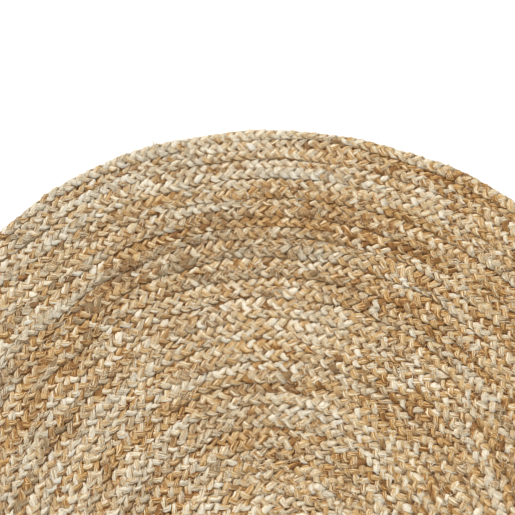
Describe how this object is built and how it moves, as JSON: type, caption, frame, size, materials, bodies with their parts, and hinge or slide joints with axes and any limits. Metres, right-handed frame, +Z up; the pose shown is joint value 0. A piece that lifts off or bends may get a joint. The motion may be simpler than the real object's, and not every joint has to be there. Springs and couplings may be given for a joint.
{
  "type": "round braided area rug",
  "caption": "Round area rug: a flat braid of natural jute strands, wound in a spiral and sewn edge to edge, with flat faces above and below.",
  "frame": {"origin": "centre of the underside, on the floor; the pole of the spiral is 3 mm from it towards +X and 3 mm towards +Y, because a spiral's box is not centred on its pole", "axes": "+Z up out of the top face; -Y points at the place where the winding ends, and the spiral grows counter-clockwise seen from +Z"},
  "size_m": [0.9988, 1.0046, 0.008],
  "materials": {
    "jute_braid": "matte natural jute, cream to tan from strand to strand",
    "sewing_thread": "matte pale jute thread"
  },
  "bodies": {
    "root": {"braid_turn_01": "jute_braid", "braid_turn_02": "jute_braid", "braid_turn_03": "jute_braid", "braid_turn_04": "jute_braid", "braid_turn_05": "jute_braid", "braid_turn_06": "jute_braid", "braid_turn_07": "jute_braid", "braid_turn_08": "jute_braid", "braid_turn_09": "jute_braid", "braid_turn_10": "jute_braid", "braid_turn_11": "jute_braid", "braid_turn_12": "jute_braid", "braid_turn_13": "jute_braid", "braid_turn_14": "jute_braid", "braid_turn_15": "jute_braid", "braid_turn_16": "jute_braid", "braid_turn_17": "jute_braid", "braid_turn_18": "jute_braid", "braid_turn_19": "jute_braid", "braid_turn_20": "jute_braid", "braid_turn_21": "jute_braid", "braid_turn_22": "jute_braid", "braid_turn_23": "jute_braid", "braid_turn_24": "jute_braid", "braid_turn_25": "jute_braid", "braid_turn_26": "jute_braid", "braid_turn_27": "jute_braid", "braid_turn_28": "jute_braid", "braid_turn_29": "jute_braid", "braid_turn_30": "jute_braid", "braid_turn_31": "jute_braid", "braid_turn_32": "jute_braid", "braid_turn_33": "jute_braid", "braid_turn_34": "jute_braid", "braid_turn_35": "jute_braid", "braid_turn_36": "jute_braid", "braid_turn_37": "jute_braid", "braid_turn_38": "jute_braid", "braid_turn_39": "jute_braid", "braid_turn_40": "jute_braid", "braid_turn_41": "jute_braid", "braid_outer_end": "jute_braid", "sewing_thread": "sewing_thread"}
  },
  "joints": []
}
